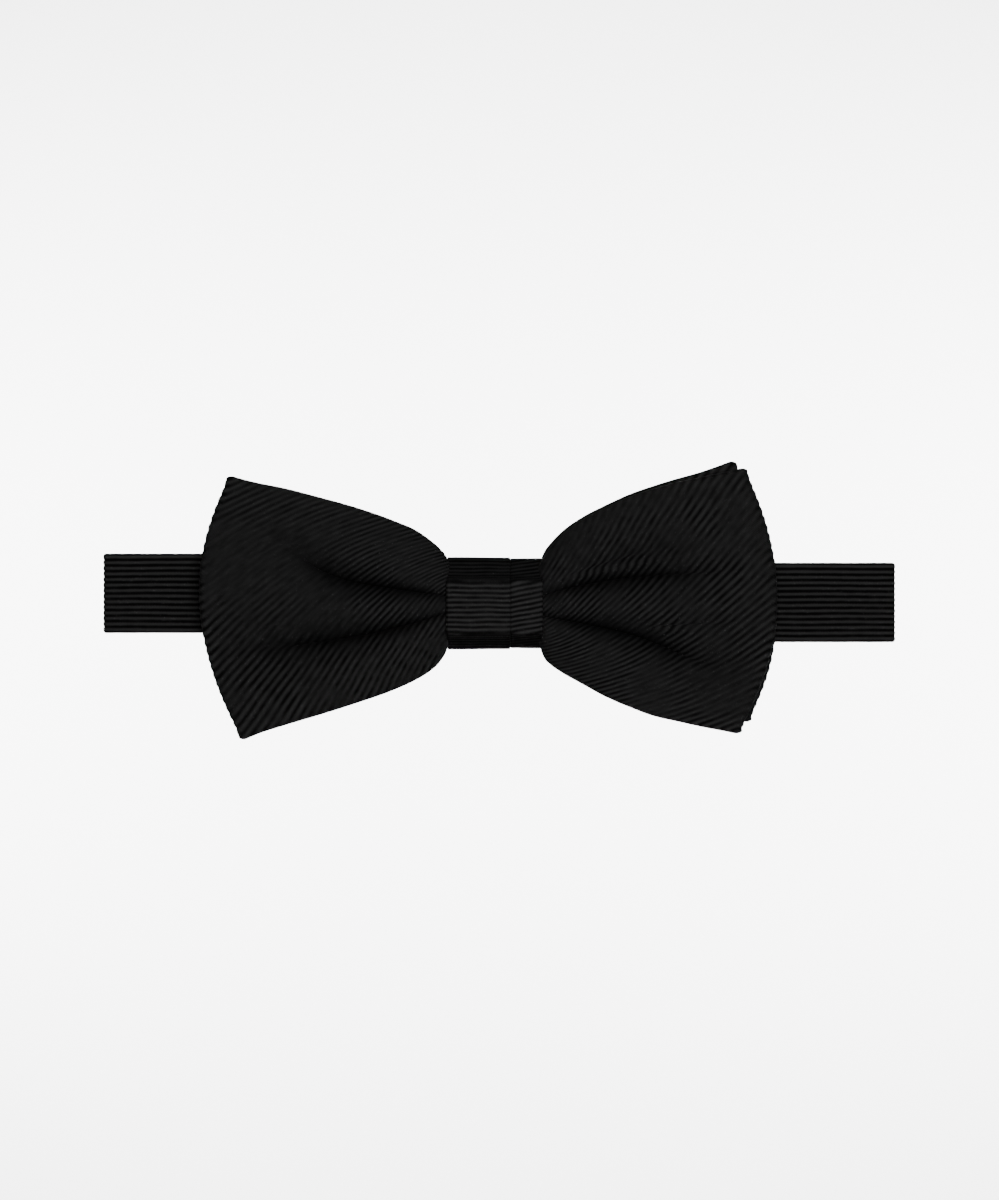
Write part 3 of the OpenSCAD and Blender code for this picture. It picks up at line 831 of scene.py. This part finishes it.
def wind_thread():
    y, z, _ = knot_path(97, inset=1.15)
    y, z = np.tile(y[:-1], TURNS), np.tile(z[:-1], TURNS)
    left, right = low("waist_thread", X), high("waist_thread", X)
    x = np.linspace(left + THREAD_R, right - THREAD_R, len(y))
    line = np.stack([x, y, z], axis=1)
    along = unit(np.gradient(line, axis=0))
    side = unit(np.cross(along, np.array([[1.0, 0, 0]])))
    a = np.linspace(0, 2 * math.pi, 8, endpoint=False)
    round_ = side[:, None] * np.cos(a)[:, None] + np.array([1.0, 0, 0]) * np.sin(a)[:, None]
    rings = line[:, None] + THREAD_R * round_
    pattern = np.stack([0 * rings[..., 0], 0 * rings[..., 0]], axis=-1)
    return sew_tube("waist_binding", rings, pattern)


finish_piece(wind_thread(), black_thread, "thread", ["waist_thread"], body="bow")

# %% [markdown]
# ## The neckband
# The band is one ribbed strip, cut so that its cords run along it. On each
# side it goes out from behind the knot, turns back on itself in a sharp
# fold and comes back behind the bow. Seen from above each side is a path,
# so the paths are drawn first, from points, easy ramps and half circles
# round the bars, and the strip is rolled along them.

# %% Paths of the strip, seen from above
BAND_HALF = 0.40  # half the thickness, without the ribs
BAND_PITCH = 1.27
CORD_UP = 0.14
GRIPPED = 6.9  # half the width of the strip where the knot grips it
FOLD_STEPS = 13  # points round a fold
band_half_w = (high("short_strap", Z) - low("short_strap", Z)) / 2
rise = {RIGHT: middle("short_strap", Z), LEFT: middle("long_strap_root", Z)}
centre_y = middle("neckband_centre", Y)
turned_y = low("short_strap", Y) + 0.45
fold_y = (centre_y + turned_y) / 2
FOLD_R = (turned_y - centre_y) / 2
outer_y = high("short_strap_loop", Y) - 0.45
eye_y, eye_x = middle("eye", Y), low("eye", X) + 0.4
tail_y = middle("long_strap_tail", Y)
run_y = middle("long_strap_run", Y)
hook_y, hook_x = (tail_y + run_y) / 2, high("hook", X) - 0.4
slider_x = middle("slider", X)
slider_y = low("slider_loop", Y) + 1.05


def arc(x, y, radius, first, last, count):
    a = np.radians(np.linspace(first, last, count))
    return np.stack([x + radius * np.cos(a), y + radius * np.sin(a)], axis=1)


def chain(*parts):
    """Joins stretches of path and drops points that fall on each other."""
    path = np.concatenate(parts)
    keep = np.concatenate([[True], np.hypot(*np.diff(path, axis=0).T) > 0.02])
    return path[keep]


def fold_path(side):
    """From behind the knot to the fold and round it."""
    tip = abs(low("short_strap", X)) if side == RIGHT else high("long_strap_root", X) - 0.1
    turn_x = side * (tip - FOLD_R - BAND_HALF)
    sweep = (270, 90) if side == RIGHT else (-90, 90)
    return chain(
        ramp((side * 0.15, centre_y), (side * 30, centre_y), 14),
        ramp((side * 30, centre_y), (turn_x, centre_y), 16),
        arc(turn_x, fold_y, FOLD_R, *sweep, FOLD_STEPS),
    )


LOOP_HALF = 0.29  # the strip is pressed thinner where it goes round a bar
eye_loop_r = 0.4 + 0.05 + LOOP_HALF
short_path = chain(
    fold_path(RIGHT),
    ramp((-83.0, turned_y), (-70.0, outer_y), 12),
    ramp((-70.0, outer_y), (-59.0, outer_y), 4),
    ramp((-59.0, outer_y), (eye_x - 0.6, eye_y + eye_loop_r), 6),
    arc(eye_x, eye_y, eye_loop_r, 90, -90, 13),
    ramp((eye_x - 0.6, eye_y - eye_loop_r), (-59.0, low("short_strap_loop", Y) + 0.45), 6),
    ramp((-59.0, low("short_strap_loop", Y) + 0.45), (-61.4, low("short_strap_loop", Y) + 0.45), 3),
)
run_start, run_end = high("long_strap_run", X), low("long_strap_run", X)
root_path = chain(
    fold_path(LEFT),
    ramp((85.2, turned_y), (run_start + 3, run_y), 16),
    ramp((run_start + 3, run_y), (run_start, run_y), 3),
)
run_path = ramp((run_start, run_y), (run_end, run_y), 30)
hook_loop_path = chain(
    ramp((run_end, run_y), (hook_x, run_y), 4),
    arc(hook_x, hook_y, (run_y - tail_y) / 2, 90, 270, 17),
    ramp((hook_x, tail_y), (run_end, tail_y), 4),
)
tail_end = high("long_strap_tail", X)
tail_path = ramp((run_end, tail_y), (tail_end, tail_y), 26)
slider_loop_path = chain(
    ramp((tail_end, tail_y), (slider_x - 0.6, slider_y - eye_loop_r), 6),
    arc(slider_x, slider_y, eye_loop_r, -90, 90, 13),
    ramp((slider_x - 0.6, slider_y + eye_loop_r), (tail_end + 0.1, slider_y + 0.6), 6),
)

# %% Roll the strip along a path


def strip_across(side, x, y):
    """The height of the strip's middle and half its width. The knot grips it."""
    near = np.clip((22 - np.abs(x)) / (22 - knot_half_w), 0, 1) * (y < fold_y)
    near = near * near * (3 - 2 * near)
    return rise[side] * (1 - near), band_half_w + (GRIPPED - band_half_w) * near


def roll_strip(name, path, side, half, columns, ribbed, margin=0.0, start=0.0):
    x, y = path.T
    length = start + np.concatenate([[0], np.cumsum(np.hypot(np.diff(x), np.diff(y)))])
    centre, reach = strip_across(side, x, y)
    v = np.linspace(-1, 1, columns)
    z = centre[:, None] + v * (reach[:, None] - margin - np.reshape(half, (-1, 1)))
    mid = np.stack([x[:, None] + 0 * z, y[:, None] + 0 * z, z], axis=-1)
    across = v[None] * band_half_w + 0.05 * np.sin(length[:, None] / 4.3 + 2 * v[None])
    cords = np.stack([across, length[:, None] + 0 * z], axis=-1)
    lift = ribs(across, BAND_PITCH, CORD_UP if ribbed else 0.0)
    rings, pattern = tube_rings(mid, half, cords, lift, lift if ribbed else None)
    return sew_tube(name, rings, pattern)


def thinned(path, bar_x, bar_y):
    """Half the thickness down a path: thin round the bar, full 2 mm away."""
    far = np.clip((np.hypot(path[:, 0] - bar_x, path[:, 1] - bar_y) - 1.0) / 2.0, 0, 1)
    return LOOP_HALF - 0.07 + (BAND_HALF - LOOP_HALF + 0.02) * far


band_silk = ribbed_cloth(
    "ribbed_black_band", "#020202", "#1F1F1F", BAND_PITCH, (1.1, 1.4)
)
STRIPS = [
    ("band_right", short_path, RIGHT, thinned(short_path, eye_x, eye_y),
     ["neckband_centre", "short_strap", "short_strap_loop"],
     {"bend": ("bow", "short_side", (0, -1.20, 0), (0, -1.10, 0))}, 0.122),
    ("band_left", root_path, LEFT, BAND_HALF,
     ["neckband_centre", "long_strap_root"],
     {"bend": ("bow", "long_side", (0, -1.20, 0), (0, -1.10, 0))}, 0.113),
    ("strap_run", run_path, LEFT, BAND_HALF, ["long_strap_run"],
     {"bend": ("long_side", "strap_end", (run_start, 0, 0), (run_end, 0, 0))}, 0.094),
    ("hook_loop_cloth", hook_loop_path, LEFT, BAND_HALF, ["hook_loop"],
     {"body": "strap_end"}, 0.012),
    ("strap_tail", tail_path, LEFT, BAND_HALF, ["long_strap_tail"],
     {"bend": ("strap_end", "adjuster", (run_end, 0, 0), (tail_end, 0, 0))}, 0.076),
    ("slider_loop_cloth", slider_loop_path, LEFT, thinned(slider_loop_path, slider_x, slider_y),
     ["slider_loop"], {"body": "adjuster"}, 0.0104),
]
sewn = 0.0  # how much of the long strap is made so far, so that its cords run on
for name, path, side, half, stands_for, how, length in STRIPS:
    strip = roll_strip(name, path, side, half, 112, ribbed=True, start=sewn)
    run = np.hypot(*np.diff(path, axis=0).T).sum()
    sewn += run if side == LEFT else 0
    print(f"{name}: {run:.1f} mm of folded strip")
    finish_piece(strip, band_silk, "band_cloth", stands_for, **how)

# %% Lay the interlining inside the strip
# It is cut short of each fold, so the strip can open flat there.
before, after = len(fold_path(RIGHT)) - FOLD_STEPS, len(fold_path(RIGHT)) + 1
STAYS = [
    ("stay_right", short_path[:before], RIGHT, ["neckband_centre_interlining"], {"body": "bow"}),
    ("stay_short", short_path[after:-24], RIGHT, ["short_strap_interlining"],
     {"body": "short_side"}),
    ("stay_left", root_path[:before], LEFT, ["neckband_centre_interlining"], {"body": "bow"}),
    ("stay_root", root_path[after:], LEFT, ["long_strap_root_interlining"],
     {"body": "long_side"}),
    ("stay_run", run_path, LEFT, ["long_strap_run_interlining"],
     {"bend": ("long_side", "strap_end", (run_start, 0, 0), (run_end, 0, 0))}),
    ("stay_tail", tail_path, LEFT, ["long_strap_tail_interlining"],
     {"bend": ("strap_end", "adjuster", (run_end, 0, 0), (tail_end, 0, 0))}),
]
for name, path, side, stands_for, how in STAYS:
    stay = roll_strip(name, path, side, 0.12, 8, ribbed=False, margin=0.5)
    finish_piece(stay, interlining, "interlining", stands_for, **how)

# %% [markdown]
# ## Hook, eye and slider
# All three are stamped from one sheet of steel: windows are punched out,
# the corners are rounded and the edges tumbled smooth. So each starts as a
# flat grid with its lines at the edges of bars and windows. The windows are
# deleted, the tongue of the hook is pulled out and bent, and then the sheet
# is given its thickness and its soft edges.

# %% Stamp a plate from a grid
PLATE = 0.7


def stamp(name, xs, zs, windows, y):
    deselect()
    bpy.ops.mesh.primitive_grid_add(x_subdivisions=len(xs) - 1, y_subdivisions=len(zs) - 1)
    piece = bpy.context.object
    piece.name = piece.data.name = name
    lines = [(x * MM, y * MM, z * MM) for z in zs for x in xs]
    piece.data.vertices.foreach_set("co", np.array(lines, np.float32).ravel())
    bpy.ops.object.mode_set(mode="EDIT")
    pick(piece, "FACE", lambda c: any(
        w[0] < c[0] < w[1] and w[2] < c[2] < w[3] for w in windows))
    bpy.ops.mesh.delete(type="FACE")
    return piece


def pick(piece, kind, wanted):
    """In edit mode, selects the faces, edges or points whose middle is wanted, in mm."""
    bpy.ops.mesh.select_mode(type=kind)
    bpy.ops.mesh.select_all(action="DESELECT")
    bpy.ops.object.mode_set(mode="OBJECT")
    mesh = piece.data
    points = [v.co / MM for v in mesh.vertices]
    if kind == "VERT":
        items = [(v, points[v.index]) for v in mesh.vertices]
    elif kind == "EDGE":
        items = [(e, (points[e.vertices[0]] + points[e.vertices[1]]) / 2) for e in mesh.edges]
    else:
        items = [(p, p.center / MM) for p in mesh.polygons]
    for item, centre in items:
        item.select = bool(wanted(centre))
    bpy.ops.object.mode_set(mode="EDIT")


def round_corners(piece, corners, radius):
    pick(piece, "VERT", lambda c: any(
        abs(c[0] - x) < 0.01 and abs(c[2] - z) < 0.01 for x, z in corners))
    bpy.ops.mesh.bevel(affect="VERTICES", offset=radius * MM, segments=4)


def thicken(piece, thickness=PLATE, edge=0.16):
    bpy.ops.mesh.select_all(action="SELECT")
    bpy.ops.mesh.normals_make_consistent(inside=False)
    bpy.ops.object.mode_set(mode="OBJECT")
    for kind, settings in (
        ("SOLIDIFY", {"thickness": thickness * MM, "offset": 0.0}),
        ("BEVEL", {"width": edge * MM, "segments": 3, "limit_method": "ANGLE"}),
    ):
        modifier = piece.modifiers.new(kind.title(), kind)
        for key, value in settings.items():
            setattr(modifier, key, value)
        bpy.ops.object.modifier_apply(modifier=modifier.name)
    bpy.ops.object.mode_set(mode="EDIT")
    bpy.ops.mesh.select_all(action="SELECT")
    bpy.ops.mesh.normals_make_consistent(inside=False)
    bpy.ops.object.mode_set(mode="OBJECT")
    bpy.ops.object.shade_smooth_by_angle(angle=math.radians(40))


# %% The eye
METAL_HALF = (high("eye", Z) - low("eye", Z)) / 2
ARM = 1.0
zc = rise[RIGHT]
eye_far = high("eye", X)
eye = stamp(
    "eye_plate",
    [eye_x - 0.4, eye_x + 0.4, eye_far - 1.4, eye_far],
    [zc - METAL_HALF, zc - METAL_HALF + ARM, zc + METAL_HALF - ARM, zc + METAL_HALF],
    [(eye_x + 0.4, eye_far - 1.4, zc - METAL_HALF + ARM, zc + METAL_HALF - ARM)],
    eye_y,
)
round_corners(eye, [(eye_far, zc - METAL_HALF), (eye_far, zc + METAL_HALF)], 0.95)
thicken(eye)
finish_piece(eye, nickel, "nickel", ["eye"], body="eye_frame")

# %% The hook
hook_far = hook_x - 6.0
TONGUE_HALF = 3.5
hook = stamp(
    "hook_plate",
    [hook_far, hook_far + 2.4, hook_x - 0.4, hook_x + 0.4],
    [-METAL_HALF, -METAL_HALF + ARM, -TONGUE_HALF, TONGUE_HALF, METAL_HALF - ARM, METAL_HALF],
    [(hook_far + 2.4, hook_x - 0.4, -METAL_HALF + ARM, METAL_HALF - ARM)],
    hook_y,
)
bend_r = 0.55
bend_x = low("hook", X) + bend_r + PLATE / 2
pick(hook, "EDGE", lambda c: abs(c[0] - hook_far) < 0.01 and abs(c[2]) < 0.1)
bpy.ops.mesh.extrude_region_move(
    TRANSFORM_OT_translate={"value": ((bend_x - hook_far) * MM, 0, 0)}
)
bpy.ops.mesh.spin(
    steps=10, angle=-math.pi, center=(bend_x * MM, (hook_y - bend_r) * MM, 0), axis=(0, 0, -1)
)
bpy.ops.mesh.extrude_region_move(TRANSFORM_OT_translate={"value": (2.2 * MM, 0, 0)})
round_corners(hook, [(hook_far, -METAL_HALF), (hook_far, METAL_HALF)], 1.4)
thicken(hook)
finish_piece(hook, nickel, "nickel", ["hook"], body="hook_frame")

# %% The slider
half_len = (high("slider", X) - low("slider", X)) / 2
OUTER_BAR = 2.0
outer_bar_y = high("slider", Y) - 0.4
slider = stamp(
    "slider_plate",
    [
        slider_x + d
        for d in (-half_len, OUTER_BAR - half_len, -0.42, 0.42, half_len - OUTER_BAR, half_len)
    ],
    [-METAL_HALF, -METAL_HALF + ARM, METAL_HALF - ARM, METAL_HALF],
    [
        (slider_x - half_len + OUTER_BAR, slider_x - 0.42, -METAL_HALF + ARM, METAL_HALF - ARM),
        (slider_x + 0.42, slider_x + half_len - OUTER_BAR, -METAL_HALF + ARM, METAL_HALF - ARM),
    ],
    outer_bar_y,
)
pick(slider, "VERT", lambda c: abs(c[0] - slider_x) < 0.5)
bpy.ops.transform.translate(value=(0, (slider_y - outer_bar_y) * MM, 0))
ends = [(slider_x + s * half_len, t * METAL_HALF) for s in (-1, 1) for t in (-1, 1)]
round_corners(slider, ends, 1.6)
thicken(slider)
finish_piece(slider, nickel, "nickel", ["slider"], body="adjuster")

# %% [markdown]
# ## Stitches
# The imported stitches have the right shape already, so they only need the
# thread's finish.

# %% Dress the stitches
for node in (
    "front_bow_join_stitches", "rear_bow_join_stitches",
    "knot_stitches", "eye_bar_tack", "slider_bar_tack",
):
    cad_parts[node].data.materials.clear()
    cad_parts[node].data.materials.append(black_thread)

# %% [markdown]
# ## Camera, floor and light
# The camera looks straight at the front with a long lens, so nothing is
# drawn wider than it is. Floor and backdrop are one pale sweep. Black cloth
# shows its ribs only where light grazes it, so one large soft light stands
# beside the camera and a little above it. Two more light the backdrop only.

# %% Set up the camera
FRAME_HEIGHT = 259.6  # mm of the object's plane that the picture's height covers
LENS, SENSOR = 150, 36
deselect()
bpy.ops.object.camera_add(rotation=(math.radians(90), 0, 0))
camera = bpy.context.object
camera.name = "camera"
camera.data.sensor_fit = "VERTICAL"
camera.data.sensor_height = SENSOR
camera.data.lens = LENS
camera.data.clip_start = 0.01
camera_away = FRAME_HEIGHT * LENS / SENSOR + 8
camera.location = mm_point((1.08, -camera_away, 0.54))
bpy.context.scene.camera = camera

# %% Sweep the floor up into a backdrop
FLOOR_Z, WALL_Y, CURVE = -600.0, 900.0, 400.0
deselect()
bpy.ops.mesh.primitive_plane_add(size=1)
floor = bpy.context.object
floor.name = "pale_sweep"
corners = [(-6000, -6000), (6000, -6000), (-6000, WALL_Y - CURVE), (6000, WALL_Y - CURVE)]
for vertex, (x, y) in zip(floor.data.vertices, corners):
    vertex.co = mm_point((x, y, FLOOR_Z))
bpy.ops.object.mode_set(mode="EDIT")
pick(floor, "EDGE", lambda c: abs(c[1] - (WALL_Y - CURVE)) < 1)
bpy.ops.mesh.spin(
    steps=40, angle=math.radians(90), axis=(-1, 0, 0),
    center=mm_point((0, WALL_Y - CURVE, FLOOR_Z + CURVE)),
)
bpy.ops.mesh.extrude_region_move(TRANSFORM_OT_translate={"value": (0, 0, 6)})
bpy.ops.mesh.select_all(action="SELECT")
bpy.ops.mesh.normals_make_consistent(inside=True)
bpy.ops.object.mode_set(mode="OBJECT")
bpy.ops.object.shade_smooth_by_angle(angle=math.radians(5.0))
paper, paper_tree, paper_shader = new_material("pale_paper")
paper_shader.inputs["Base Color"].default_value = linear("#F4F4F4")
paper_shader.inputs["Roughness"].default_value = 0.9
# Its far side is clear, so a view from outside the sweep still shows the object.
far_side = add_node(paper_tree, "ShaderNodeNewGeometry").outputs["Backfacing"]
clear = add_node(paper_tree, "ShaderNodeBsdfTransparent").outputs[0]
one_sided = add_node(
    paper_tree, "ShaderNodeMixShader", inputs={0: far_side, 1: paper_shader.outputs[0], 2: clear}
).outputs[0]
paper_tree.links.new(one_sided, paper_tree.nodes["Material Output"].inputs["Surface"])
floor.data.materials.append(paper)
print("the sweep stands back", WALL_Y, "mm and its floor lies", -FLOOR_Z, "mm down")

# %% Light it softly


def softbox(name, place, aim, size, power, spread=180):
    deselect()
    bpy.ops.object.light_add(type="AREA", location=mm_point(place))
    lamp = bpy.context.object
    lamp.name = name
    lamp.data.size = size * MM
    lamp.data.energy = power
    lamp.data.spread = math.radians(spread)
    direction = Vector(mm_point(aim)) - lamp.location
    lamp.rotation_euler = direction.to_track_quat("-Z", "Y").to_euler()


softbox("key_beside_camera", (130, -1000, 150), (0, 0, 0), 500, 13.5)
softbox("backdrop_left", (-600, 450, 0), (-50, 900, 0), 300, 8.5, 80)
softbox("backdrop_right", (600, 450, 0), (50, 900, 0), 300, 8.5, 80)
world = bpy.data.worlds.new("studio")
bpy.context.scene.world = world
world.use_nodes = True
world.node_tree.nodes["Background"].inputs[0].default_value = (1, 1, 1, 1)
world.node_tree.nodes["Background"].inputs[1].default_value = 0.18
